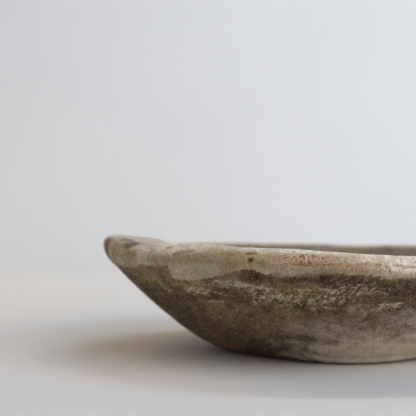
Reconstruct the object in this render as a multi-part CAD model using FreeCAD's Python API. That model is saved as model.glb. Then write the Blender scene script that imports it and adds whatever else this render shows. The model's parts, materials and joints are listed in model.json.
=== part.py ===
"""Hand-carved wooden bowl, cut from one block of wood.

Frame: millimetres, origin at the centre of the foot on the ground plane, +Z up.
The X axis runs from one raised end of the bowl to the other.  The Y axis runs
across it.  Angles are measured around the foot from +X, anticlockwise.

The bowl is one closed surface: a flat foot, a flaring outer wall, a proud lip,
and a dished hollow.  Each ring of the surface is a closed curve around the
bowl, and the rings are joined into one smooth skin.
"""
import FreeCAD, Part
import math
import os

Vector = FreeCAD.Vector

# ---- Driving dimensions (mm) -------------------------------------------------
HALF_LENGTH = 175.0        # centre to the outside of a raised end, along X
HALF_WIDTH = 172.0         # centre to the outside of the lip, along Y
FOOT_RADIUS = 78.0         # flat the bowl stands on
FOOT_SQUARENESS = 4.5      # the foot is cut a little square, with its corners between the axes
RIM_HEIGHT = 76.8          # ground to the crest of the lip, average of the long sides
BASE_THICKNESS = 13.0      # wood under the middle of the hollow
FLOOR_RADIUS = 22.0        # flat middle of the hollow

# Rise and fall of the crest around the rim.
SLOPE_TO_LEFT = 2.3        # the whole rim climbs a little towards the left end
SLOPE_TO_FRONT = 0.6       # and a little towards the front, at 270 degrees
END_SPREAD = 24.0          # degrees over which a raised end dies away
# Each swell of the crest is (middle in degrees, spread in degrees, rise in mm).
CREST_SWELLS = (
    (186.0, END_SPREAD, 7.0),     # raised left end
    (0.0, END_SPREAD, 10.2),      # raised right end, from the low side of the rim
    (233.0, 9.0, 3.2),            # shoulder beside the left end
    (252.0, 12.0, 2.0),           # and its long fall
    (281.0, 14.0, -1.2),          # worn stretch at the front
    (76.0, 9.0, -1.2),            # worn hollow at the back
)

# Uneven outline of a bowl cut by eye: (waves around the rim, depth in mm).
OUTLINE_WAVES = ((3, 0.8), (5, -0.5), (8, 0.25))

# Lip section, from the top of the wall, over the crest, to the inside edge.
# Each step is (inset from the outline, drop below the crest), for the long
# sides and for the raised ends.  The step between the first two points of the
# long-side section is the small overhang of the lip.  At the ends the inside
# edge lies far in, so that each end is a solid shelf cut straight across.
LIP_AT_SIDES = ((4.2, 13.5), (1.2, 10.4), (0.0, 7.0), (2.8, 3.4), (6.6, 0.6), (9.6, 0.3), (12.2, 3.6))
LIP_AT_ENDS = ((6.2, 20.3), (1.6, 14.0), (0.0, 8.4), (1.7, 2.4), (13.0, 0.4), (32.0, 2.0), (52.0, 7.0))
SHELF_SPREAD = 33.0        # degrees to either side that a shelf reaches
SHELF_POWER = 4            # how squarely it stops there

# Outer wall and hollow.
WALL_POWER = 1.42          # how the outer wall rolls off the ground and steepens to the lip
HOLLOW_POWER = 3.0         # how fast the hollow steepens from its middle to the lip

RING_POINTS = 60           # points that carry each closed ring
WALL_RINGS = 8             # rings from the foot to the lip
HOLLOW_RINGS = 7           # rings from the lip to the flat middle
SKIN_DEGREE = 3


# ---- Shape of the rim --------------------------------------------------------
def apart(angle, other):
    """Smallest difference between two directions, in degrees."""
    return abs((angle - other + 180.0) % 360.0 - 180.0)


def swell(angle, middle, spread):
    """Smooth bump around the rim: 1 at its middle, dying away over its spread."""
    return math.exp(-(apart(angle, middle) / spread) ** 2)


def oval(angle, half_x, half_y):
    """Radius of an ellipse in one direction."""
    turn = math.radians(angle)
    return half_x * half_y / math.hypot(half_y * math.cos(turn), half_x * math.sin(turn))


def crest_height(angle):
    """Height of the top of the lip above the ground."""
    turn = math.radians(angle)
    height = RIM_HEIGHT - SLOPE_TO_LEFT * math.cos(turn) - SLOPE_TO_FRONT * math.sin(turn)
    return height + sum(rise * swell(angle, middle, spread) for middle, spread, rise in CREST_SWELLS)


def outline_radius(angle):
    """Outermost radius of the lip, with the unevenness of hand work."""
    uneven = sum(depth * math.sin(math.radians(waves * angle)) for waves, depth in OUTLINE_WAVES)
    return oval(angle, HALF_LENGTH, HALF_WIDTH) + uneven


def foot_radius(angle):
    """Edge of the flat that touches the ground."""
    return FOOT_RADIUS + FOOT_SQUARENESS * math.cos(math.radians(4.0 * angle))


def endness(angle):
    """1 in the middle of a raised end, 0 along the sides."""
    nearest = min(apart(angle, 180.0), apart(angle, 0.0))
    return math.exp(-(nearest / SHELF_SPREAD) ** SHELF_POWER)


# ---- Rings of the surface ----------------------------------------------------
def lip_point(angle, step):
    """Radius and height of one step of the lip section."""
    blend = endness(angle)
    side_inset, side_drop = LIP_AT_SIDES[step]
    end_inset, end_drop = LIP_AT_ENDS[step]
    inset = side_inset + blend * (end_inset - side_inset)
    drop = side_drop + blend * (end_drop - side_drop)
    return outline_radius(angle) - inset, crest_height(angle) - drop


def wall_point(angle, step):
    """Radius and height on the outer wall; step runs from 0 at the foot to 1 at the lip."""
    foot = foot_radius(angle)
    top_radius, top_height = lip_point(angle, 0)
    return foot + step * (top_radius - foot), top_height * step ** WALL_POWER


def hollow_point(angle, step):
    """Radius and height in the hollow; step runs from 0 at the lip to 1 at its flat middle."""
    edge_radius, edge_height = lip_point(angle, len(LIP_AT_SIDES) - 1)
    radius = edge_radius + step * (FLOOR_RADIUS - edge_radius)
    dish = (radius ** HOLLOW_POWER - FLOOR_RADIUS ** HOLLOW_POWER) / (
        edge_radius ** HOLLOW_POWER - FLOOR_RADIUS ** HOLLOW_POWER)
    return radius, BASE_THICKNESS + (edge_height - BASE_THICKNESS) * dish


def ring(point_at, step):
    """Closed smooth curve through point_at(angle, step), all the way around the bowl."""
    points = []
    for index in range(RING_POINTS):
        angle = 360.0 * index / RING_POINTS
        radius, height = point_at(angle, step)
        turn = math.radians(angle)
        points.append(Vector(radius * math.cos(turn), radius * math.sin(turn), height))
    curve = Part.BSplineCurve()
    curve.interpolate(Points=points, PeriodicFlag=True)
    return Part.Wire([curve.toShape()])


def band(point_at, steps):
    """Smooth skin through the rings at the given steps."""
    rings = [ring(point_at, step) for step in steps]
    return Part.makeLoft(rings, False, False, False, SKIN_DEGREE).Faces


def make_bowl():
    """The whole bowl: foot, outer wall, lip and hollow, as one solid of wood."""
    wall_steps = [index / (WALL_RINGS - 1) for index in range(WALL_RINGS)]
    hollow_steps = [index / (HOLLOW_RINGS - 1) for index in range(HOLLOW_RINGS)]
    foot = Part.Face(ring(wall_point, 0.0))
    floor = Part.Face(ring(hollow_point, 1.0))
    skin = [foot, floor]
    skin += band(wall_point, wall_steps)
    skin += band(lip_point, range(len(LIP_AT_SIDES)))
    skin += band(hollow_point, hollow_steps)
    shell = Part.makeShell(skin)
    shell.sewShape()
    solid = Part.makeSolid(shell)
    if solid.Volume < 0.0:
        solid.reverse()
    return solid


os.makedirs("parts", exist_ok=True)
bowl = make_bowl()
bowl.exportStep("parts/bowl.step")
box = bowl.optimalBoundingBox(True, False)
print("bowl", bowl.ShapeType, "valid", bowl.isValid(), "solids", len(bowl.Solids))
print("size mm %.1f x %.1f x %.1f" % (box.XLength, box.YLength, box.ZLength))
print("volume cm3 %.0f" % (bowl.Volume / 1000.0))
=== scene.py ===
"""Looks of the hand-carved wooden bowl: a worn, weathered surface in a plain pale studio.

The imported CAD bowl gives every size.  This script samples its surface, carves
the marks of use and weather into a fine mesh, and paints that mesh with one
procedural wood.  Marks of wear are sized in millimetres and everything else in
metres.  Bearings are degrees around the bowl, 0 at the front (-Y) and -90 at
the left end (-X).
"""
import json
import math
from types import SimpleNamespace

import bpy
import numpy as np
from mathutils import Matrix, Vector, noise as vertex_noise
from mathutils.bvhtree import BVHTree

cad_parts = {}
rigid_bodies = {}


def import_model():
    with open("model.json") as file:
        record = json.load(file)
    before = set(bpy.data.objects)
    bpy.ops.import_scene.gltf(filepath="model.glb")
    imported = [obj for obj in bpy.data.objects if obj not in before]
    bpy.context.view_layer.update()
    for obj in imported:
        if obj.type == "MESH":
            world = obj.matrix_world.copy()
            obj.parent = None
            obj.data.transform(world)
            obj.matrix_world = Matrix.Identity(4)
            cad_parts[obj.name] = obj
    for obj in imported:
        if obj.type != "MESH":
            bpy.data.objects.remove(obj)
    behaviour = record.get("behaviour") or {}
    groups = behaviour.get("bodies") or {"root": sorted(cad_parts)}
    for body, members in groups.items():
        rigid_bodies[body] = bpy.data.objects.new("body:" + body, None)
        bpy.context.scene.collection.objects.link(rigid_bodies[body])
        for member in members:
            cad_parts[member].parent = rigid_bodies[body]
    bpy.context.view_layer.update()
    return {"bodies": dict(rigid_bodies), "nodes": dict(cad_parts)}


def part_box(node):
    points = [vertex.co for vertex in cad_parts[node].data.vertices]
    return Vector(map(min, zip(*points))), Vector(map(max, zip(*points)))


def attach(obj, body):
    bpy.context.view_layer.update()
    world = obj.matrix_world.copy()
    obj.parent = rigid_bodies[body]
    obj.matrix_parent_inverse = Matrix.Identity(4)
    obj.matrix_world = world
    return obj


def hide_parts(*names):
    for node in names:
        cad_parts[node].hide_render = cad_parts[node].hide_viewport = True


MM = 0.001

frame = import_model()
bowl_low, bowl_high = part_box("bowl")
HALF_LENGTH = (bowl_high.x - bowl_low.x) / 2
HALF_WIDTH = (bowl_high.y - bowl_low.y) / 2
BOWL_HEIGHT = bowl_high.z

# ---- Mesh fineness -----------------------------------------------------------
DIRECTIONS = 680           # columns of the mesh around the bowl
BUNCH = 24.0               # degrees by which columns are drawn together at the front
BUNCH_BEARING = -25.0      # where they are closest
SECTION_ROWS = 128         # rows from the edge of the foot, over the lip, into the hollow
FINEST_DOWN = 8.0          # mm below the crest, where the rows are closest
THIN_OUTSIDE = 90.0        # mm over which their spacing doubles towards the foot
THIN_INSIDE = 38.0         # and into the hollow
CAP_ROWS = 14              # rows across the foot, and across the middle of the hollow
CAP_HALVINGS = 3           # how often their count of vertices may halve towards the middle

# ---- Rays that find the CAD surface ------------------------------------------
CREST_INSET = 10 * MM      # the crest lies this far inside the widest point of its section
LIP_CORE_DEPTH = 9 * MM    # the lip's middle lies this far under its crest
FOOT_CORE = (0.42, 8 * MM)     # share of the outline, and height, of the wood over the foot's edge
HOLLOW_END = 0.3           # share of the outline where the middle of the hollow begins
ROLL_RAYS = 8              # rays around the edge of the foot
WALL_RAYS = 90             # rays up the outer wall
LIP_RAYS = 50              # rays over the outside of the lip, to its crest
TOP_RAYS = 120             # rays straight down, from the crest into the hollow
REACH = 0.5                # longest ray
RAY_START = BOWL_HEIGHT * 0.6      # how far from their aims the rays of a section start
RAY_TOP = BOWL_HEIGHT * 2  # and rays straight down
BELOW, ABOVE = -90.0, 90.0         # leans of rays that come from straight below and above
FOOT_LEAN, LIP_LEAN = -58.0, -45.0     # leans square to the wall, at the foot and at the lip
HOLLOW_SLOPE = 0.6         # the lip or shelf ends where it falls this steeply inward
EDGE_SOFTNESS = 6          # columns to either side over which that edge is smoothed


def polar(bearing, radius, height):
    """Point at a bearing, a distance from the middle and a height."""
    turn = math.radians(bearing)
    return Vector((radius * math.sin(turn), -radius * math.cos(turn), height))


def outline(bearing):
    """Radius of the oval that bounds the bowl."""
    turn = math.radians(bearing)
    return 1.0 / math.hypot(math.sin(turn) / HALF_LENGTH, math.cos(turn) / HALF_WIDTH)


def cad_surface(node):
    """Search tree over a CAD node's faces."""
    return BVHTree.FromObject(frame["nodes"][node], bpy.context.evaluated_depsgraph_get())


def strike(tree, bearing, aim, lean, start):
    """Radius and height where a ray that travels towards aim meets the wood.

    The section at this bearing is seen edge on.  aim is (radius, height), lean is the
    direction from aim back to the ray's start, in degrees above straight outward.
    """
    out, up = math.cos(math.radians(lean)), math.sin(math.radians(lean))
    origin = polar(bearing, aim[0] + start * out, aim[1] + start * up)
    travel = polar(bearing, -out, -up)
    hit = tree.ray_cast(origin, travel, REACH)[0]
    return math.hypot(hit.x, hit.y), hit.z


def crossing(first, second, rows, skip_first=True):
    """Evenly spaced blends between two (radius, height, lean) aims."""
    steps = range(1 if skip_first else 0, rows + 1)
    return [tuple(a + (b - a) * i / rows for a, b in zip(first, second)) for i in steps]


def section(tree, bearing):
    """The bowl's section at a bearing, from the foot's edge over the lip into the hollow."""
    inside = outline(bearing) - CREST_INSET
    height = strike(tree, bearing, (inside, 0.0), ABOVE, RAY_TOP)[1] - LIP_CORE_DEPTH
    reach = strike(tree, bearing, (inside, height), 0.0, BOWL_HEIGHT)[0]
    foot = (reach * FOOT_CORE[0], FOOT_CORE[1])
    core = (reach - CREST_INSET, height)
    middle = (reach * HOLLOW_END, core[1])
    aims = crossing(foot + (BELOW,), foot + (FOOT_LEAN,), ROLL_RAYS, skip_first=False)
    aims += crossing(foot + (FOOT_LEAN,), core + (LIP_LEAN,), WALL_RAYS)
    aims += crossing(core + (LIP_LEAN,), core + (ABOVE,), LIP_RAYS)
    aims += crossing(core + (ABOVE,), middle + (ABOVE,), TOP_RAYS)
    return spread([strike(tree, bearing, aim[:2], aim[2], RAY_START) for aim in aims])


def spread(profile):
    """Rows along a section as (radius, height, down), closest together at the lip."""
    profile = np.array(profile)
    steps = np.linalg.norm(np.diff(profile, axis=0), axis=1)
    run = np.concatenate([[0.0], np.cumsum(steps)])
    widest = profile[:, 0].argmax()
    crest = widest + np.argmax(profile[widest:, 0] <= profile[widest, 0] - CREST_INSET)
    down = (run[crest] - run) / MM
    away = down - FINEST_DOWN
    spacing = 1.0 + np.where(away > 0.0, away / THIN_OUTSIDE, -away / THIN_INSIDE)
    count = np.concatenate([[0.0], np.cumsum(steps / spacing[1:])])
    wanted = np.linspace(0.0, count[-1], SECTION_ROWS)
    return [np.interp(wanted, count, values) for values in (profile[:, 0], profile[:, 1], down)]


# ---- Marks of hand work, use and weather, with some painted light and shade ---
# Patches are (bearing, mm down from the crest, half length, half height, strength or depth).
# "Down" is measured along the section: positive outside, negative into the hollow.
# Depths are mm; a strength of 1 covers what lies under a stain as fully as its paint can.
WORM_HOLES = (
    (-24.5, 12.6, 2.2, 1.2, 2.4),
    (64.0, 9.5, 1.2, 1.2, 2.0),
    (118.0, 16.0, 1.1, 1.1, 1.8),
    (-152.0, 10.0, 1.3, 1.0, 2.0),
    (-141.0, 22.0, 1.0, 1.0, 1.6),
    (37.0, 31.0, 1.1, 1.1, 1.6),
)
GOUGES = (
    (-25.0, 8.3, 3.4, 1.0, 0.7),
    (-68.0, 12.9, 1.6, 1.3, 0.7),
    (76.0, 5.0, 7.0, 2.0, 1.0),
    (152.0, 13.0, 6.0, 1.6, 0.9),
    (-118.0, 15.0, 8.0, 2.0, 1.0),
    (107.0, -15.0, 9.0, 2.4, 0.9),
)
END_FLATS = (
    (-76.0, 14.0, 6.0, 8.0, 1.1),
    (98.0, 13.0, 13.0, 9.0, 0.9),
)

# Lines are (bearing, down) of both ends, then half width in mm and depth or strength.
CRACKS = (
    (-62.0, 8.9, -62.3, 4.0, 2.2, 1.4),       # scar over the crest of the left end
    (-62.3, 4.0, -61.4, -4.5, 3.4, 1.8),
    (-55.0, 3.0, -53.0, 1.0, 1.0, 0.5),
    (-46.0, 0.4, -43.5, 1.6, 1.2, 0.8),       # where the hollow starts beside the left end; painted shade of the hollow, carved as a crack
    (83.0, -5.0, 88.0, -21.0, 0.9, 1.2),
    (-97.0, -8.0, -101.0, -29.0, 0.9, 1.2),
    (-133.0, 4.0, -131.0, 18.0, 0.8, 0.9),
    (-3.4, 33.0, -5.2, 41.0, 0.7, 0.7),
    (3.0, 13.6, 3.0, 15.6, 0.6, 0.3),
)
SCRATCHES = (
    (-70.8, 6.0, -71.5, 19.5, 1.5, 1.0),
    (-2.6, 29.0, -4.5, 41.0, 0.5, 0.9),
    (-1.0, 31.0, -2.2, 38.0, 0.45, 0.7),
    (-4.8, 38.0, -6.4, 48.0, 0.5, 0.7),
    (3.9, 43.0, 2.4, 52.5, 0.5, 0.9),
    (4.4, 46.4, 8.4, 44.0, 0.6, 1.0),
    (4.6, 49.0, 7.6, 47.6, 0.5, 0.8),
    (-42.5, 56.3, -37.0, 56.2, 0.5, 0.7),
    (-13.5, 54.6, -7.0, 52.4, 0.4, 0.9),
    (-16.0, 38.0, -8.0, 35.6, 0.4, 0.6),
    (-38.5, 46.0, -35.0, 49.5, 0.7, 0.8),
    (-44.0, 46.0, -40.5, 49.0, 0.7, 1.0),
    (-42.0, 43.0, -38.5, 46.0, 0.7, 0.9),
    (-36.0, 36.0, -28.0, 37.6, 0.7, 0.9),
    (-30.0, 34.0, -23.0, 38.8, 0.8, 1.0),
    (-24.0, 43.0, -19.0, 48.0, 0.6, 0.9),
    (-21.0, 45.0, -17.0, 50.0, 0.5, 0.8),
    (-56.0, 44.0, -52.5, 47.5, 0.7, 0.6),
    (70.0, 34.0, 64.0, 50.0, 0.8, 0.8),
    (130.0, 51.0, 138.0, 46.0, 0.8, 0.8),
    (-170.0, 41.0, -163.0, 48.0, 0.8, 0.7),
)
# Rusty dirt in fine cracks along the lip, and in a few spots beside them.
RUST_LINES = (
    (-47.2, 4.4, -45.4, 2.1, 1.5, 1.0),
    # Partly rusty dirt, partly painted shade where the hollow starts.
    (-46.0, 0.4, -43.5, 1.6, 1.4, 1.0),
    (-43.5, 1.6, -39.0, 1.2, 0.9, 0.8),
    (-43.5, 11.9, -41.6, 10.6, 1.6, 0.9),
    (-41.6, 10.6, -38.6, 9.8, 1.2, 0.8),
    (-25.6, 8.6, -23.8, 8.2, 1.0, 1.0),
    (-29.2, 9.5, -28.6, 9.5, 1.0, 0.8),
    (-23.5, 14.4, -21.8, 15.0, 1.0, 0.7),
    (-16.0, 15.3, -7.5, 13.6, 0.8, 1.0),
    (-7.5, 13.6, -1.5, 11.9, 0.8, 0.7),
    (0.7, 12.0, 1.2, 12.0, 0.9, 1.2),
    (2.3, 12.9, 2.8, 12.9, 0.8, 1.0),
    (4.0, 11.7, 9.0, 12.8, 0.8, 1.0),
    (9.4, 12.6, 16.0, 13.6, 0.8, 0.9),
    (120.0, 12.0, 127.0, 13.0, 0.8, 0.7),
)

PALE_LIP = 19.8            # usual depth of the pale, worn band under the crest
PALE_WAVE = 1.2            # mm by which its edge wanders, in long waves and again in short ones
PALE_LEAN = 0.28           # degrees that its swells lean to the left for each mm down
# Where the band reaches further down: bearing, half widths to its left and right in degrees,
# mm, and sharpness to the left and right.
PALE_SWELLS = (
    (-38.0, 7.8, 10.0, 14.0, 12, 3),
    (-15.5, 8.0, 8.0, 6.3, 4, 4),
    (8.0, 7.0, 7.0, 2.8, 2, 2),
    (-66.0, 9.0, 9.0, 6.0, 4, 4),
    (-82.0, 14.0, 14.0, 9.0, 4, 4),
    (62.0, 16.0, 16.0, 5.0, 2, 2),
    (104.0, 24.0, 24.0, 9.0, 2, 2),
    (170.0, 22.0, 22.0, 5.0, 2, 2),
)

# Where a mark fades out and where it is whole, in its own half sizes from its middle.
HOLE_RIM = (1.25, 0.55)
GOUGE_RIM = (1.15, 0.25)
CRACK_RIM = (1.6, 0.3)
LINE_RIM = (1.7, 0.2)
STAIN_RIM = (1.35, 0.45)
GOUGE_RAGGED = 0.18        # how far raggedness moves those rims, in half sizes
LINE_RAGGED = 0.3
SHORTEST_LINE = 0.001      # mm; level lines shrink to nothing at the middle of the bowl

# Relief that isn't one mark: height and size in mm, squeeze along X, Y and Z, shift of the noise.
SWELLS = (
    (0.40, 36.0, (1.0, 1.0, 1.0), 1.0),
    (0.26, 13.0, (1.0, 1.0, 1.0), 5.0),
    (0.14, 4.5, (0.8, 0.6, 1.0), 7.0),
)
HOLLOW_CUTS = (0.45, 14.0, (0.45, 1.0, 1.0), 0.0)      # ridges between tool cuts in the hollow
WALL_CUTS = (0.07, 15.0, (0.6, 1.0, 1.0), 4.0)         # and on the worn outer wall
PALE_STEP = 0.55           # mm that the dark wall lies deeper than the worn band

# Stains: patches by name.  The functions that paint the wood say how each stain looks.
STAINS = {
    # Paler, bleached wood; near the crest it is also a painted highlight.
    "bleach_and_painted_light": (
        (7.0, 9.0, 28.0, 8.0, 1.0), (30.0, 9.0, 60.0, 13.0, 0.8), (-16.0, 4.0, 32.0, 5.0, 0.8),
        (-43.0, 4.0, 26.0, 9.5, 1.0), (-56.0, 4.0, 14.0, 9.0, 0.9), (-43.0, 29.0, 14.0, 7.0, 0.6),
        (-54.0, 15.0, 9.0, 6.0, 0.5), (-66.0, 22.0, 10.0, 5.0, 0.5), (-84.0, -20.0, 50.0, 22.0, 0.8),
        (95.0, 5.0, 40.0, 12.0, 0.6), (175.0, 6.0, 90.0, 11.0, 0.9), (-120.0, 4.0, 30.0, 6.0, 0.7),
    ),
    "brown": (
        (-36.0, 15.0, 22.0, 4.5, 0.8), (-24.0, 15.5, 13.0, 3.5, 0.8), (-48.0, 15.0, 12.0, 4.5, 0.6),
        (-59.5, 13.4, 10.0, 4.0, 1.0), (-27.0, 13.5, 24.0, 7.5, 0.8), (-8.0, 8.0, 5.0, 2.0, 0.9),
        (-2.5, 15.9, 8.0, 2.4, 0.6), (-30.0, 17.5, 26.0, 3.0, 0.5), (52.0, 13.0, 26.0, 5.0, 0.7),
        (124.0, 11.0, 22.0, 5.0, 0.8), (-150.0, 13.0, 26.0, 5.0, 0.8), (-112.0, 19.0, 16.0, 8.0, 0.7),
        (72.0, 16.0, 20.0, 6.0, 0.6),
    ),
    "rust": (
        (-59.0, 14.8, 2.2, 2.4, 0.9), (-13.0, 11.2, 17.5, 4.2, 1.0), (-24.5, 14.1, 2.2, 1.4, 0.9),
        (-34.0, 13.5, 9.0, 4.0, 0.3), (-1.0, 11.4, 2.6, 1.6, 0.7), (0.5, 11.8, 0.9, 0.9, 1.0),
        (2.0, 12.6, 0.8, 0.8, 1.0), (66.0, 11.0, 12.0, 4.0, 0.7), (-160.0, 10.0, 14.0, 4.0, 0.8),
    ),
    "blotch": (
        (-51.5, 26.5, 8.5, 6.0, 0.9), (-66.0, 33.0, 12.0, 6.0, 0.5), (-67.0, 37.0, 7.0, 4.0, 1.0),
        (-64.0, 30.0, 22.0, 5.0, 0.5), (112.0, 28.0, 12.0, 7.0, 0.8), (-155.0, 25.0, 14.0, 6.0, 0.7),
    ),
    "soot": (
        (-25.6, 28.0, 9.0, 4.0, 0.9), (-9.0, 27.5, 30.0, 6.0, 1.0), (7.0, 32.0, 18.0, 9.0, 0.9),
        (24.0, 31.0, 34.0, 12.0, 0.9), (-37.0, 37.0, 5.0, 1.6, 0.7), (0.0, 68.0, 16.0, 9.0, 0.5),
        (16.0, 72.0, 22.0, 6.0, 0.5), (-16.5, 52.6, 8.5, 4.4, 1.0), (-20.5, 50.5, 4.0, 3.0, 0.9),
        (-16.5, 88.9, 7.0, 4.5, 0.9), (-7.5, 68.6, 4.0, 1.2, 0.9), (-4.0, 64.5, 1.6, 1.6, 0.9),
        (-76.0, 14.0, 6.5, 8.5, 0.9), (-62.0, 3.0, 11.0, 6.0, 1.0), (-67.0, 0.0, 13.0, 5.0, 0.8),
        (-62.0, 62.0, 16.0, 24.0, 0.6), (-55.0, 50.0, 7.0, 5.0, 0.6),
        (90.0, 41.0, 40.0, 14.0, 0.8), (170.0, 35.0, 70.0, 12.0, 0.8), (-130.0, 53.0, 26.0, 14.0, 0.7),
    ),
    "chalk": (
        (-32.5, 37.5, 16.0, 4.0, 0.9), (-43.5, 45.5, 8.0, 5.5, 1.0), (-54.5, 45.0, 6.0, 5.0, 0.6),
        (-55.5, 35.4, 2.8, 2.6, 0.9), (-20.0, 46.5, 28.0, 8.0, 1.0), (-10.0, 41.0, 22.0, 6.0, 0.9),
        (5.0, 47.5, 6.0, 3.6, 1.0), (-2.0, 34.0, 18.0, 6.0, 0.5), (-40.0, 28.0, 10.0, 5.0, 0.5),
        (60.0, 56.0, 40.0, 14.0, 0.8), (150.0, 61.0, 50.0, 14.0, 0.8), (-140.0, 45.0, 40.0, 12.0, 0.9),
        (-95.0, 49.0, 30.0, 10.0, 0.6),
    ),
    "cream": (
        (16.0, 93.0, 7.0, 3.0, 0.7), (22.0, 96.0, 5.0, 2.4, 0.8),
        (5.5, 83.7, 1.4, 1.2, 0.9), (-8.0, 70.6, 1.8, 1.0, 0.9), (17.5, 94.4, 3.5, 3.0, 0.7),
        (3.0, 91.8, 3.5, 3.0, 0.6), (140.0, 77.0, 3.0, 2.4, 0.8), (-120.0, 85.0, 3.0, 2.4, 0.7),
    ),
    # Tan dust and wear; low at the front right it is also painted light from the floor and window.
    "tan_and_painted_light": (
        (16.0, 99.0, 36.0, 22.0, 1.0), (-4.0, 101.0, 22.0, 14.0, 0.8), (-1.5, 52.0, 8.0, 5.0, 0.6),
        (4.0, 73.0, 30.0, 14.0, 0.7), (30.0, 71.0, 40.0, 24.0, 0.8), (21.0, 119.0, 14.0, 4.0, 0.8),
        (8.0, 113.0, 34.0, 10.0, 1.0), (-30.0, 36.0, 16.0, 6.0, 0.6), (-2.0, 76.0, 26.0, 16.0, 0.6),
        (110.0, 96.0, 70.0, 20.0, 0.7), (-170.0, 99.0, 60.0, 18.0, 0.8),
    ),
    "sienna": (
        (-58.0, 30.0, 26.0, 14.0, 0.85), (-44.0, 39.0, 18.0, 8.0, 0.8), (-51.0, 27.0, 10.0, 9.0, 1.0),
        (-40.0, 66.0, 30.0, 12.0, 0.3), (130.0, 40.0, 40.0, 14.0, 0.7), (-100.0, 38.0, 40.0, 12.0, 0.6),
    ),
    # Dust; low at the front right it is also painted light.
    "dust_and_painted_light": (
        (10.0, 104.0, 60.0, 22.0, 0.9), (-8.0, 80.0, 34.0, 12.0, 0.35), (24.0, 78.0, 34.0, 16.0, 0.6),
        (100.0, 104.0, 90.0, 18.0, 0.6), (-150.0, 100.0, 80.0, 16.0, 0.6),
    ),
    # Dust at the foot; at the front it is also painted light.
    "foot_dust_and_painted_light": (
        (8.0, 120.0, 60.0, 7.0, 1.0), (120.0, 118.0, 70.0, 7.0, 0.7), (-150.0, 118.0, 60.0, 7.0, 0.7),
    ),
    "olive": (
        (-44.0, 82.0, 36.0, 20.0, 0.8), (-55.0, 64.0, 20.0, 14.0, 0.6), (-49.0, 86.3, 4.5, 2.0, 1.0),
        (-33.0, 62.0, 26.0, 8.0, 0.9), (-28.0, 41.0, 7.0, 4.0, 0.8), (70.0, 93.0, 40.0, 16.0, 0.7),
        (-110.0, 91.0, 50.0, 16.0, 0.7),
    ),
    "slate": (
        (10.5, 58.4, 16.0, 7.0, 0.8), (-37.5, 27.5, 15.0, 5.0, 0.4), (-70.0, 3.0, 20.0, 9.0, 0.9),
        (-62.0, -10.0, 24.0, 10.0, 0.9), (-13.0, 20.0, 18.0, 3.5, 0.4), (-55.0, -3.0, 18.0, 8.0, 0.9),
        (100.0, 67.0, 18.0, 9.0, 0.7), (-63.0, -5.0, 8.0, 6.0, 0.6),
        (-86.0, -18.0, 75.0, 26.0, 0.8), (92.0, -20.0, 70.0, 24.0, 0.6),
    ),
    "teal": (
        (-34.0, 43.0, 2.2, 1.8, 1.0), (-32.3, 42.0, 1.7, 1.4, 0.9), (143.0, 52.0, 2.4, 1.8, 0.9),
    ),
}


def smooth(low, high, value):
    """0 below low, 1 above high, and a soft step between."""
    t = np.clip((value - low) / (high - low), 0.0, 1.0)
    return t * t * (3.0 - 2.0 * t)


def clouds(points, size, shift=0.0, octaves=1):
    """Soft noise, about -1 to 1, with blobs of this size in mm, at each point."""
    scaled = points / size + shift
    if octaves == 1:
        return np.array([vertex_noise.noise(Vector(p)) for p in scaled])
    return np.array([vertex_noise.fractal(Vector(p), 0.8, 2.0, octaves) for p in scaled])


def cuts(points, size, shift=0.0):
    """Shallow scallops left by a blade: 0 in the middle of a cut, 1 on the ridge between cuts."""
    scaled = points / size + shift
    nearest = np.array([vertex_noise.voronoi(Vector(p))[0][0] for p in scaled])
    return np.clip(nearest, 0.0, 1.0) ** 2


def turned(bearings, middle):
    """Signed difference of bearings from a middle, in degrees."""
    return (bearings - middle + 180.0) % 360.0 - 180.0


def around(fields, mark):
    """How far each point is from a mark, in its own half sizes: 1 on its edge."""
    bearing, down, half_length, half_height = mark[:4]
    across = np.radians(turned(fields["bearing"], bearing)) * fields["radius"]
    return np.hypot(across / half_length, (fields["down"] - down) / half_height)


def along(fields, line):
    """How far each point is from a line, in its own half widths: 1 on its edge."""
    bearing, down = turned(fields["bearing"], line[0]), fields["down"] - line[1]
    across = np.radians(bearing) * fields["radius"]
    end_across = np.radians(turned(line[2], line[0])) * fields["radius"]
    end_down = line[3] - line[1]
    length_squared = np.maximum(end_across ** 2 + end_down ** 2, SHORTEST_LINE ** 2)
    share = np.clip((across * end_across + down * end_down) / length_squared, 0.0, 1.0)
    return np.hypot(across - share * end_across, down - share * end_down) / line[4]


def pale_border(bearings, down, points):
    """How far down from the crest the pale band reaches, in mm."""
    upright = points * (1.0, 1.0, 0.2)
    border = PALE_LIP + PALE_WAVE * clouds(upright, 17.0, 3.0)
    border += PALE_WAVE * clouds(upright, 5.0, 9.0)
    leaning = bearings + PALE_LEAN * np.clip(down - PALE_LIP, 0.0, PALE_LIP)
    for middle, left, right, rise, left_sharpness, right_sharpness in PALE_SWELLS:
        away = turned(leaning, middle)
        share = np.abs(away) / np.where(away < 0.0, left, right)
        border += rise * np.exp(-share ** np.where(away < 0.0, left_sharpness, right_sharpness))
    return border


def shaped(pattern, form, points):
    """Height in mm of clouds or cuts of a form, at each point."""
    rise, size, squeeze, shift = form
    return rise * pattern(points * squeeze, size, shift)


def relief(fields, points):
    """Height of the carved and worn surface over the smooth one, in mm, at each point."""
    down, ragged = fields["down"], fields["ragged"]
    wall = smooth(16.0, 26.0, down)
    hollow = smooth(2.0, 10.0, fields["within"])
    height = sum(shaped(clouds, form, points) for form in SWELLS)
    height += hollow * shaped(cuts, HOLLOW_CUTS, points)
    height += wall * shaped(cuts, WALL_CUTS, points)
    height -= PALE_STEP * smooth(1.6, -0.4, fields["edge"]) * smooth(2.0, 12.0, down)
    for mark in WORM_HOLES:
        height -= mark[4] * smooth(*HOLE_RIM, around(fields, mark))
    for mark in GOUGES + END_FLATS:
        height -= mark[4] * smooth(*GOUGE_RIM, around(fields, mark) + GOUGE_RAGGED * ragged)
    for line in CRACKS:
        height -= line[5] * smooth(*CRACK_RIM, along(fields, line) + LINE_RAGGED * ragged)
    return height * fields["lifted"]


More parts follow.
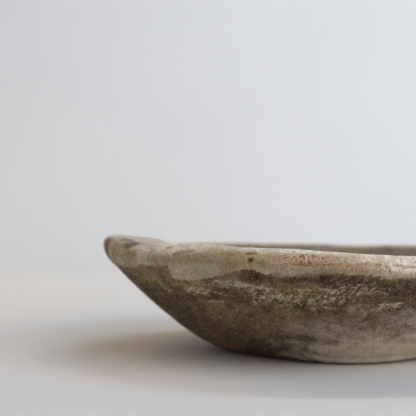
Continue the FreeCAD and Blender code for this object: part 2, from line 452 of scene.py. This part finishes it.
# ---- The mesh ----------------------------------------------------------------
def stitch(outer, inner):
    """Faces between two closed rings with as many vertices, or half as many in the inner one."""
    count = len(inner)
    faces = []
    for i in range(count):
        near, far = inner[i], inner[(i + 1) % count]
        if len(outer) == count:
            faces.append((outer[i], outer[(i + 1) % count], far, near))
        else:
            first, middle, last = outer[2 * i], outer[2 * i + 1], outer[(2 * i + 2) % len(outer)]
            faces += [(first, middle, near), (middle, far, near), (middle, last, far)]
    return faces


def hollow_edges(sections):
    """Depth inside the crest, as a negative down, at which each section drops into the hollow."""
    edges = []
    for radii, heights, downs in sections:
        slope = np.diff(heights) / np.diff(radii)
        steep = (slope > HOLLOW_SLOPE) & (downs[1:] < 0.0)
        edges.append(downs[1:][steep.argmax()])
    around_ring = edges[-EDGE_SOFTNESS:] + edges + edges[:EDGE_SOFTNESS]
    width = 2 * EDGE_SOFTNESS + 1
    return np.convolve(around_ring, np.full(width, 1.0 / width), "valid")


class Skin:
    """Vertices and faces of the closed surface while it is put together, ring by ring."""

    def __init__(self):
        self.points = []
        self.down = []
        self.faces = []

    def ring(self, points, downs):
        """Adds a ring of vertices and returns their numbers."""
        first = len(self.points)
        self.points += points
        self.down += downs
        return list(range(first, len(self.points)))

    def cap(self, rim, sign, height_at):
        """Closes a ring towards the middle with rings that thin out; height_at(x, y) shapes them."""
        ring = rim
        for row in range(1, CAP_ROWS):
            share = 1.0 - row / CAP_ROWS
            wanted = len(rim) >> min(CAP_HALVINGS, int(-math.log2(share)))
            step = len(rim) // wanted
            points, downs = [], []
            for number in rim[::step]:
                x, y, z = self.points[number]
                points.append((x * share, y * share, height_at(x * share, y * share)))
                downs.append(self.down[number] + sign * math.hypot(x, y) * (1.0 - share) / MM)
            new = self.ring(points, downs)
            self.faces += stitch(ring, new)
            ring = new
        middle = self.ring([(0.0, 0.0, height_at(0.0, 0.0))], [self.down[ring[0]] + sign])[0]
        self.faces += [(ring[i], ring[(i + 1) % len(ring)], middle) for i in range(len(ring))]


def smooth_skin(tree):
    """The bowl's CAD surface, sampled finely and closed over the foot and the middle of the hollow."""
    turns = [2.0 * math.pi * index / DIRECTIONS for index in range(DIRECTIONS)]
    bearings = [BUNCH_BEARING + math.degrees(turn) - BUNCH * math.sin(turn) for turn in turns]
    sections = [section(tree, bearing) for bearing in bearings]
    skin = Skin()
    rings = []
    for row in range(SECTION_ROWS):
        points = [
            tuple(polar(bearing, radii[row], heights[row]))
            for bearing, (radii, heights, _) in zip(bearings, sections)
        ]
        rings.append(skin.ring(points, [downs[row] for _, _, downs in sections]))
    for lower, upper in zip(rings, rings[1:]):
        skin.faces += stitch(lower, upper)
    skin.cap(rings[0][::-1], 1.0, lambda x, y: 0.0)
    fall = Vector((0, 0, -1))
    skin.cap(rings[-1], -1.0, lambda x, y: tree.ray_cast(Vector((x, y, RAY_TOP)), fall)[0].z)
    skin.hollow = (np.array(bearings) + 360.0) % 360.0, hollow_edges(sections)
    return skin


def surface_fields(points, down, hollow):
    """Everything that marks and colours are placed by, one value per vertex; points are in mm."""
    bearing = np.degrees(np.arctan2(points[:, 0], -points[:, 1]))
    return {
        "down": down,
        "bearing": bearing,
        "radius": np.hypot(points[:, 0], points[:, 1]),
        "lifted": np.where(down > 0.0, smooth(0.3, 5.0, points[:, 2]), 1.0),    # 0 under the foot
        "ragged": clouds(points, 2.6, 11.0),
        "blots": clouds(points, 7.0, 31.0, 2),
        "within": np.interp(bearing, *hollow, period=360.0) - down,     # mm into the hollow
        "edge": pale_border(bearing, down, points) - down,              # mm above the band's edge
    }


def line_field(fields, lines):
    """Thin marks: 0 away from all of them, up to each one's strength on it."""
    total = np.zeros(len(fields["down"]))
    for line in lines:
        reach = along(fields, line) + LINE_RAGGED * fields["ragged"]
        total = np.maximum(total, line[5] * smooth(*LINE_RIM, reach))
    return total


def stain_field(fields, marks, ragged=0.35):
    """Soft patches: 0 outside all of them, up to each one's strength inside."""
    total = np.zeros(len(fields["down"]))
    for mark in marks:
        reach = around(fields, mark) + ragged * fields["blots"]
        total = np.maximum(total, mark[4] * smooth(*STAIN_RIM, reach))
    return total


def whole(marks, sizes):
    """The marks at full strength: their first values, which are places and sizes, then 1."""
    return [mark[:sizes] + (1.0,) for mark in marks]


def paint_fields(fields):
    """The values that the paint is mixed by, by name: 0 to 1, but mm for down, edge and within."""
    paint = {name: fields[name] for name in ("down", "edge", "within")}
    paint.update({name: stain_field(fields, marks) for name, marks in STAINS.items()})
    paint["rusty_line"] = line_field(fields, RUST_LINES)
    # Worm holes painted near black: painted shade inside the holes.
    paint["hole_shade"] = stain_field(fields, whole(WORM_HOLES, 4), ragged=0.1)
    gouged = stain_field(fields, whole(GOUGES, 4), ragged=0.25)
    # Darker in gouges and cracks; along the crack where the hollow starts this is painted shade.
    paint["darker_in_gouges_and_cracks"] = np.maximum(gouged, line_field(fields, whole(CRACKS, 5)))
    paint["scratch"] = line_field(fields, SCRATCHES)
    return paint


def carve(skin):
    """The final bowl mesh: the smooth skin moved along its normals by the relief, with its paint fields."""
    mesh = bpy.data.meshes.new("carved_bowl")
    mesh.from_pydata(skin.points, [], skin.faces)
    normals = np.zeros(len(skin.points) * 3, np.float32)
    mesh.vertex_normals.foreach_get("vector", normals)
    places = np.array(skin.points)
    fields = surface_fields(places / MM, np.array(skin.down), skin.hollow)
    height = relief(fields, places / MM)
    places += normals.reshape(-1, 3) * (height * MM)[:, None]
    places[:, 2] = np.maximum(places[:, 2], 0.0)
    mesh.vertices.foreach_set("co", places.astype(np.float32).ravel())
    for name, values in paint_fields(fields).items():
        layer = mesh.attributes.new(name, "FLOAT", "POINT")
        layer.data.foreach_set("value", values.astype(np.float32))
    mesh.shade_smooth()
    mesh.update()
    bowl = bpy.data.objects.new("carved_bowl", mesh)
    bpy.context.scene.collection.objects.link(bowl)
    return bowl


# ---- Shader helpers ----------------------------------------------------------
class Paint:
    """Short names for the shader nodes of one material."""

    def __init__(self, name):
        self.material = bpy.data.materials.new(name)
        self.material.use_nodes = True
        self.tree = self.material.node_tree
        self.tree.nodes.clear()

    def node(self, kind, inputs=(), **settings):
        """Adds a node; inputs maps a socket's name or number to a value or another socket."""
        node = self.tree.nodes.new(kind)
        for name, value in settings.items():
            setattr(node, name, value)
        for key, value in dict(inputs).items():
            if isinstance(value, bpy.types.NodeSocket):
                self.tree.links.new(value, node.inputs[key])
            else:
                node.inputs[key].default_value = value
        return node

    def field(self, name):
        """A value painted on the mesh."""
        return self.node("ShaderNodeAttribute", attribute_name=name).outputs["Fac"]

    def math(self, operation, first, second=0.0, clamp=False):
        """Two values put together by one of the Math node's operations."""
        node = self.node("ShaderNodeMath", {0: first, 1: second}, operation=operation, use_clamp=clamp)
        return node.outputs[0]

    def stretch(self, vector, factors):
        """The vector with each of its parts multiplied."""
        return self.node("ShaderNodeVectorMath", {0: vector, 1: factors}, operation="MULTIPLY").outputs[0]

    def turn(self, vector, degrees):
        """The vector turned about the Y axis, so that its X axis slants across the front."""
        values = {"Vector": vector, "Angle": math.radians(degrees)}
        return self.node("ShaderNodeVectorRotate", values, rotation_type="Y_AXIS").outputs[0]

    def times(self, first, second, *more):
        """Product of values."""
        product = self.math("MULTIPLY", first, second)
        return self.times(product, *more) if more else product

    def cloud(self, vector, size, detail=2.0, roughness=0.55):
        """Noise from 0 to 1 with blobs of about this size, in the vector's unit."""
        values = {"Vector": vector, "Scale": 1.0 / size, "Detail": detail, "Roughness": roughness}
        return self.node("ShaderNodeTexNoise", values).outputs["Fac"]

    def step(self, value, low, high, to_low=0.0, to_high=1.0):
        """A soft step from to_low, where the value is low, to to_high, where it is high."""
        values = {"Value": value, "From Min": low, "From Max": high, "To Min": to_low, "To Max": to_high}
        node = self.node("ShaderNodeMapRange", values, interpolation_type="SMOOTHSTEP")
        return node.outputs["Result"]

    def mix(self, factor, first, second, blend="MIX"):
        """Colours mixed by a factor."""
        node = self.node("ShaderNodeMix", {"Factor": factor}, data_type="RGBA", blend_type=blend)
        for key, value in (("A", first), ("B", second)):
            socket = [s for s in node.inputs if s.name == key and s.type == "RGBA"][0]
            if isinstance(value, bpy.types.NodeSocket):
                self.tree.links.new(value, socket)
            else:
                socket.default_value = tuple(value) + (1.0,)
        return [s for s in node.outputs if s.type == "RGBA"][0]

    def stain(self, colour, name, noise, levels, paint):
        """The colour with paint over it where a field is strong; noise, in steps of levels, thins it."""
        return self.mix(self.times(self.field(name), self.step(noise, *levels)), colour, paint)

    def wander(self, value, noise, reach):
        """A value made uneven by noise, by up to half the reach to either side."""
        return self.math("ADD", value, self.times(self.math("SUBTRACT", noise, 0.5), reach))


# ---- The wood ----------------------------------------------------------------
SOOT_DARK = (0.036, 0.020, 0.010)
WOOD_DARK = (0.090, 0.053, 0.024)
WOOD_BROWN = (0.215, 0.137, 0.064)
OLIVE = (0.135, 0.096, 0.044)
UMBER = (0.110, 0.064, 0.026)
TAN_AND_PAINTED_LIGHT = (0.37, 0.29, 0.205)
CHALK = (0.62, 0.51, 0.36)
CREAM = (0.60, 0.48, 0.32)
SIENNA = (0.37, 0.255, 0.115)
DUST_AND_PAINTED_LIGHT = (0.54, 0.465, 0.37)
LIP_TAN = (0.50, 0.40, 0.27)
LIP_DEEP = (0.35, 0.26, 0.16)
LIP_BROWN = (0.31, 0.220, 0.120)
PALE = (0.70, 0.64, 0.56)
PALE_SHADED = (0.52, 0.45, 0.37)
RUST = (0.13, 0.042, 0.016)
RUSTY_LINE = (0.25, 0.130, 0.055)
RUST_WASH = (0.47, 0.325, 0.200)
SLATE = (0.31, 0.275, 0.230)
TEAL = (0.040, 0.043, 0.033)
HOLLOW_GREY = (0.195, 0.160, 0.120)
HOLLOW_BROWN = (0.135, 0.100, 0.066)
HOLLOW_DARK = (0.085, 0.060, 0.037)
HOLLOW_PALE = (0.330, 0.275, 0.205)
HOLE_SHADE_BLACK = (0.010, 0.007, 0.005)

# Noise is sized in mm.  Along Y it changes half as fast, so that marks stay as tall on the
# leaning wall as they would be on an upright one.
NOISE_SCALE = (1.0 / MM, 0.5 / MM, 1.0 / MM)
EVEN = (1.0, 1.0, 1.0)
FIBRE = (0.16, 0.3, 1.0)   # drawn out along X
VEIN = (0.07, 2.0, 1.0)    # drawn out further, for the grain of the hollow
UPRIGHT = (1.0, 1.0, 0.3)  # drawn out along Z
STROKES = (
    # slant in degrees, squeeze, width in mm, noise where a stroke starts and is whole, strength
    (38.0, FIBRE, 1.0, 0.53, 0.64, 1.0),
    (-55.0, FIBRE, 1.0, 0.56, 0.66, 0.9),
    (0.0, FIBRE, 1.0, 0.56, 0.66, 0.8),
    (0.0, EVEN, 1.1, 0.56, 0.68, 0.6),
)
CHALK_EVERYWHERE = 0.22    # share of the strokes that also lie outside the chalky patches
BUMP_HEIGHT = 0.9 * MM
SHEEN = 0.28               # specular level of old, dry, unpolished wood


def wood_noise(p):
    """The noise that all parts of the wood share: blotches, mottle, grain, specks and strokes."""
    place = p.stretch(p.node("ShaderNodeTexCoord").outputs["Object"], NOISE_SCALE)
    strokes = 0.0
    for slant, squeeze, width, start, full, strength in STROKES:
        fibres = p.cloud(p.stretch(p.turn(place, slant), squeeze), width, 2.0, 0.6)
        strokes = p.math("MAXIMUM", strokes, p.step(fibres, start, full, 0.0, strength))
    patchy = p.step(p.cloud(place, 5.0, 4.0, 0.75), 0.38, 0.55, 0.12, 1.0)
    return SimpleNamespace(
        place=place,
        blotch=p.cloud(place, 20.0, 3.0),
        mottle=p.cloud(place, 5.5, 4.0, 0.65),
        grain=p.cloud(place, 1.6, 3.0, 0.7),
        speck=p.cloud(place, 1.5, 2.0, 0.6),
        strokes=p.times(strokes, patchy),
    )


def wall_colour(p, noise):
    """Dark, sooty wall with dust low down, which at the front right is also painted light, and chalky
    fibres across it.
    """
    mottle, speck = noise.mottle, noise.speck
    wall = p.mix(p.step(noise.blotch, 0.38, 0.64), WOOD_DARK, WOOD_BROWN)
    wall = p.stain(wall, "olive", mottle, (0.70, 0.35, 0.4, 0.9), OLIVE)
    wall = p.stain(wall, "sienna", mottle, (0.30, 0.60, 0.5, 1.0), SIENNA)
    # Tan dust and wear, which low at the front right is also painted light.
    wall = p.stain(wall, "tan_and_painted_light", mottle, (0.30, 0.60, 0.45, 1.0), TAN_AND_PAINTED_LIGHT)
    wall = p.mix(p.step(mottle, 0.50, 0.36, 0.0, 0.45), wall, SOOT_DARK)
    wall = p.stain(wall, "blotch", mottle, (0.68, 0.42, 0.5, 1.0), UMBER)
    wall = p.mix(p.step(noise.grain, 0.50, 0.34, 0.0, 0.55), wall, SOOT_DARK)
    # Dust low down, which at the front right is also painted light.
    wall = p.stain(wall, "dust_and_painted_light", mottle, (0.25, 0.62, 0.6, 1.0), DUST_AND_PAINTED_LIGHT)
    wall = p.stain(wall, "foot_dust_and_painted_light", mottle, (0.30, 0.60, 0.6, 1.0), PALE)
    wall = p.stain(wall, "soot", mottle, (0.72, 0.45, 0.45, 0.95), SOOT_DARK)
    wall = p.stain(wall, "slate", speck, (0.35, 0.6, 0.35, 0.8), SLATE)
    chalky = p.math("ADD", p.field("chalk"), CHALK_EVERYWHERE, clamp=True)
    wall = p.mix(p.times(noise.strokes, chalky), wall, CHALK)
    wall = p.stain(wall, "cream", speck, (0.35, 0.55), CREAM)
    return p.mix(p.times(p.field("teal"), 0.9), wall, TEAL)


def lip_colour(p, noise):
    """Pale lip: worn and faded along the crest, with a painted highlight there, and stained brown, grey and
    rusty under it.
    """
    place, mottle, speck = noise.place, noise.mottle, noise.speck
    upright = p.stretch(place, UPRIGHT)
    pale = p.mix(p.step(mottle, 0.36, 0.62), PALE_SHADED, PALE)
    lip = p.mix(p.step(noise.blotch, 0.38, 0.62), LIP_TAN, LIP_DEEP)
    # Bleached wood, which near the crest is also a painted highlight.
    lip = p.stain(lip, "bleach_and_painted_light", speck, (0.25, 0.55, 0.55, 1.0), pale)
    lip = p.mix(p.step(p.cloud(upright, 1.5, 2.0), 0.50, 0.66, 0.0, 0.4), lip, LIP_DEEP)
    lip = p.mix(p.step(p.cloud(upright, 1.3, 2.0, 0.6), 0.50, 0.34, 0.0, 0.35), lip, PALE)
    lip = p.stain(lip, "brown", mottle, (0.34, 0.60, 0.5, 1.0), LIP_BROWN)
    # Paler along the crest: wear, and a painted highlight.
    crest = p.step(p.field("down"), 8.5, 2.5, 0.0, 0.85)
    lip = p.mix(p.times(crest, p.step(speck, 0.25, 0.5, 0.8, 1.0)), lip, pale)
    lip = p.stain(lip, "slate", speck, (0.35, 0.6, 0.5, 0.9), SLATE)
    lip = p.stain(lip, "rust", mottle, (0.35, 0.6, 0.4, 0.9), RUST_WASH)
    clusters = p.step(p.cloud(place, 4.0, 3.0, 0.7), 0.40, 0.56, 0.3, 1.0)
    freckles = p.step(p.cloud(place, 1.3, 2.0, 0.6), 0.46, 0.55)
    lip = p.mix(p.times(p.field("rust"), clusters, freckles), lip, RUST)
    lip = p.stain(lip, "rusty_line", speck, (0.25, 0.5, 0.35, 0.9), RUSTY_LINE)
    return p.stain(lip, "soot", mottle, (0.70, 0.38, 0.7, 0.95), WOOD_DARK)


def hollow_colour(p, noise):
    """Grey-brown hollow with dark and light grain lines that run along X, and painted shade that deepens
    further in.
    """
    veins = p.cloud(p.stretch(noise.place, VEIN), 1.8, 3.0, 0.65)
    hollow = p.mix(p.step(noise.blotch, 0.36, 0.66), HOLLOW_GREY, HOLLOW_BROWN)
    hollow = p.mix(p.step(veins, 0.48, 0.64, 0.0, 0.7), hollow, HOLLOW_DARK)
    hollow = p.mix(p.step(veins, 0.48, 0.36, 0.0, 0.5), hollow, HOLLOW_PALE)
    hollow = p.mix(p.times(noise.strokes, 0.35), hollow, HOLLOW_PALE)
    hollow = p.mix(p.step(noise.speck, 0.46, 0.34, 0.0, 0.45), hollow, WOOD_DARK)
    # Darker further into the hollow: painted shade.
    return p.mix(p.step(p.field("within"), 8.0, 70.0, 0.0, 0.35), hollow, WOOD_DARK)


def all_colours(p, noise):
    """Wall, lip and hollow put together, with scratches, grit, dirt and scars; worm holes and the hollow's
    edge get painted shade.
    """
    on_lip = p.wander(p.wander(p.field("edge"), noise.speck, 7.0), noise.mottle, 6.0)
    colour = p.mix(p.step(on_lip, -1.0, 0.9), wall_colour(p, noise), lip_colour(p, noise))
    colour = p.stain(colour, "scratch", noise.grain, (0.36, 0.56, 0.1, 0.95), CHALK)
    in_hollow = p.wander(p.field("within"), noise.mottle, 8.0)
    colour = p.mix(p.step(in_hollow, -1.0, 3.5), colour, hollow_colour(p, noise))
    grit = p.step(p.cloud(noise.place, 1.1, 3.0, 0.75), 0.34, 0.66, 0.78, 1.22)
    gritty = p.mix(1.0, colour, grit, "MULTIPLY")
    colour = p.mix(p.step(p.field("down"), 1.0, 9.0, 0.3, 1.0), colour, gritty)
    dirt = p.step(p.cloud(noise.place, 1.3, 2.0), 0.38, 0.26, 0.0, 0.6)
    colour = p.mix(dirt, colour, WOOD_DARK)
    # Darker in gouges and cracks, and painted shade along the hollow's edge.
    colour = p.mix(p.times(p.field("darker_in_gouges_and_cracks"), 0.85), colour, WOOD_DARK)
    # Worm holes near black: painted shade.
    return p.mix(p.field("hole_shade"), colour, HOLE_SHADE_BLACK)


def weathered_wood():
    """Old dry wood, with a rough surface that is smoother along the crest and in the hollow."""
    p = Paint("weathered_wood")
    noise = wood_noise(p)
    bumps = p.math("ADD", noise.grain, p.times(noise.speck, 0.8))
    bumps = p.math("ADD", bumps, p.times(noise.mottle, 0.7))
    worn = p.step(p.field("down"), 1.0, 12.0, 0.35, 1.0)
    bump = p.node("ShaderNodeBump", {"Height": bumps, "Strength": worn, "Distance": BUMP_HEIGHT})
    values = {
        "Base Color": all_colours(p, noise),
        "Roughness": p.step(noise.mottle, 0.3, 0.7, 0.93, 0.72),
        "Normal": bump.outputs["Normal"],
        "Specular IOR Level": SHEEN,
    }
    shader = p.node("ShaderNodeBsdfPrincipled", values)
    p.node("ShaderNodeOutputMaterial", {"Surface": shader.outputs[0]})
    return p.material


# ---- The studio --------------------------------------------------------------
STUDIO_RADIUS = 2.2        # metres from the bowl to the curved backdrop
STUDIO_COVE = 0.8          # radius of the curve between floor and backdrop
STUDIO_BORDER = 0.08       # flat ring before the curve, which keeps the floor's shading flat
STUDIO_HEIGHT = 2.4
STUDIO_SIDES = 96          # faces around
COVE_STEPS = 12            # faces up the curve
STUDIO_PAINT = (0.64, 0.64, 0.645)
BLACK = (0.0, 0.0, 0.0)
LAMP_DISTANCE = 1.75       # metres from the bowl to each lamp that lights it
WINDOW_BEARING = 45.0
WINDOW_SIZE = (1.8, 1.2)   # metres wide and high
WARM_WHITE = (1.0, 0.90, 0.80)
SKY_BLUE = (0.36, 0.66, 1.0)
AMBER = (1.0, 0.70, 0.36)
COOL_WHITE = (0.86, 0.93, 1.0)


def studio_paint():
    """Matt pale paint, very slightly uneven."""
    p = Paint("studio_paint")
    place = p.node("ShaderNodeTexCoord").outputs["Object"]
    uneven = p.step(p.cloud(place, 0.6, 2.0), 0.3, 0.7, 0.97, 1.0)
    colour = p.mix(uneven, BLACK, STUDIO_PAINT)
    shader = p.node("ShaderNodeBsdfPrincipled", {"Base Color": colour, "Roughness": 0.9})
    p.node("ShaderNodeOutputMaterial", {"Surface": shader.outputs[0]})
    return p.material


def studio():
    """Round pale room: a flat floor that curves up into a plain wall on every side."""
    flat = STUDIO_RADIUS - STUDIO_COVE
    profile = [(flat - STUDIO_BORDER, 0.0)]
    for step in range(COVE_STEPS + 1):
        turn = math.radians(90.0 * step / COVE_STEPS)
        profile.append((flat + STUDIO_COVE * math.sin(turn), STUDIO_COVE - STUDIO_COVE * math.cos(turn)))
    profile.append((STUDIO_RADIUS, STUDIO_HEIGHT))
    bearings = [360.0 * side / STUDIO_SIDES for side in range(STUDIO_SIDES)]
    points = [tuple(polar(bearing, radius, height)) for radius, height in profile for bearing in bearings]
    rings = [list(range(row * STUDIO_SIDES, (row + 1) * STUDIO_SIDES)) for row in range(len(profile))]
    faces = [tuple(rings[0][::-1])]
    for lower, upper in zip(rings, rings[1:]):
        faces += stitch(lower, upper)
    mesh = bpy.data.meshes.new("studio")
    mesh.from_pydata(points, [], faces)
    mesh.shade_smooth()
    room = bpy.data.objects.new("studio", mesh)
    bpy.context.scene.collection.objects.link(room)
    mesh.materials.append(studio_paint())


def lamp(name, place, target, size, power, colour):
    """Soft lamp of a width and height and a power in watts, which looks at a target and isn't seen."""
    data = bpy.data.lights.new(name, "AREA")
    data.shape = "RECTANGLE"
    data.size, data.size_y = size
    data.energy = power
    data.color = colour
    light = bpy.data.objects.new(name, data)
    light.location = place
    light.rotation_euler = (Vector(target) - Vector(place)).to_track_quat("-Z", "Y").to_euler()
    light.visible_camera = False
    bpy.context.scene.collection.objects.link(light)


def around_bowl(bearing, elevation):
    """Place of a lamp at a bearing and an elevation, both in degrees, seen from the bowl."""
    rise = math.radians(elevation)
    height = BOWL_HEIGHT / 2 + LAMP_DISTANCE * math.sin(rise)
    return polar(bearing, LAMP_DISTANCE * math.cos(rise), height)


def lights():
    """A wide window at the front right, warm low down and cool high up, with a warm fill behind.

    One more lamp brightens the backdrop behind the bowl.
    """
    middle = (0.0, 0.0, BOWL_HEIGHT / 2)
    lamp("window_low", around_bowl(WINDOW_BEARING, 22.0), middle, WINDOW_SIZE, 28.8, WARM_WHITE)
    lamp("window_high", around_bowl(WINDOW_BEARING, 50.0), middle, WINDOW_SIZE, 10.6, SKY_BLUE)
    lamp("warm_fill", around_bowl(-120.0, 50.0), middle, (1.2, 1.2), 8.9, AMBER)
    lamp("on_backdrop", (0.6, 0.9, 2.0), (0.6, 2.1, 0.5), (1.2, 0.6), 28.9, COOL_WHITE)


CAMERA_PLACE = (-0.0967, -0.742, 0.0969)     # metres: left of the bowl's middle, in front, and up
CAMERA_TILT = 0.72         # degrees that it looks up
CAMERA_LENS = 84.5         # mm
CAMERA_SENSOR = 36.0       # mm
CAMERA_STOP = 10.0
CAMERA_NEAREST = 0.01      # metres; nothing nearer is drawn
NEAR_SIDE = 0.165          # the focus lies this far in front of the bowl's middle


def camera():
    """Camera low in front of the bowl, with the bowl to the right of the picture and its front in focus."""
    data = bpy.data.cameras.new("camera")
    data.lens = CAMERA_LENS
    data.sensor_width = CAMERA_SENSOR
    data.clip_start = CAMERA_NEAREST
    data.dof.use_dof = True
    data.dof.aperture_fstop = CAMERA_STOP
    shot = bpy.data.objects.new("camera", data)
    shot.location = CAMERA_PLACE
    shot.rotation_euler = (math.radians(90.0 + CAMERA_TILT), 0.0, 0.0)
    bpy.context.scene.collection.objects.link(shot)
    bpy.context.scene.camera = shot
    # The focus distance is the distance to the middle of the bowl, less NEAR_SIDE.
    focus = data.dof.driver_add("focus_distance")
    focus.driver.type = "SUM"
    distance = focus.driver.variables.new()
    distance.type = "LOC_DIFF"
    distance.targets[0].id = shot
    distance.targets[1].id = frame["bodies"]["root"]
    for modifier in list(focus.modifiers):
        focus.modifiers.remove(modifier)
    shift = focus.modifiers.new("GENERATOR")
    shift.coefficients = (-NEAR_SIDE, 1.0)


# ---- Put together ------------------------------------------------------------
bowl = carve(smooth_skin(cad_surface("bowl")))
bowl.data.materials.append(weathered_wood())
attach(bowl, "root")
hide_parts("bowl")

studio()
lights()
camera()
bpy.context.scene.view_settings.view_transform = "Standard"
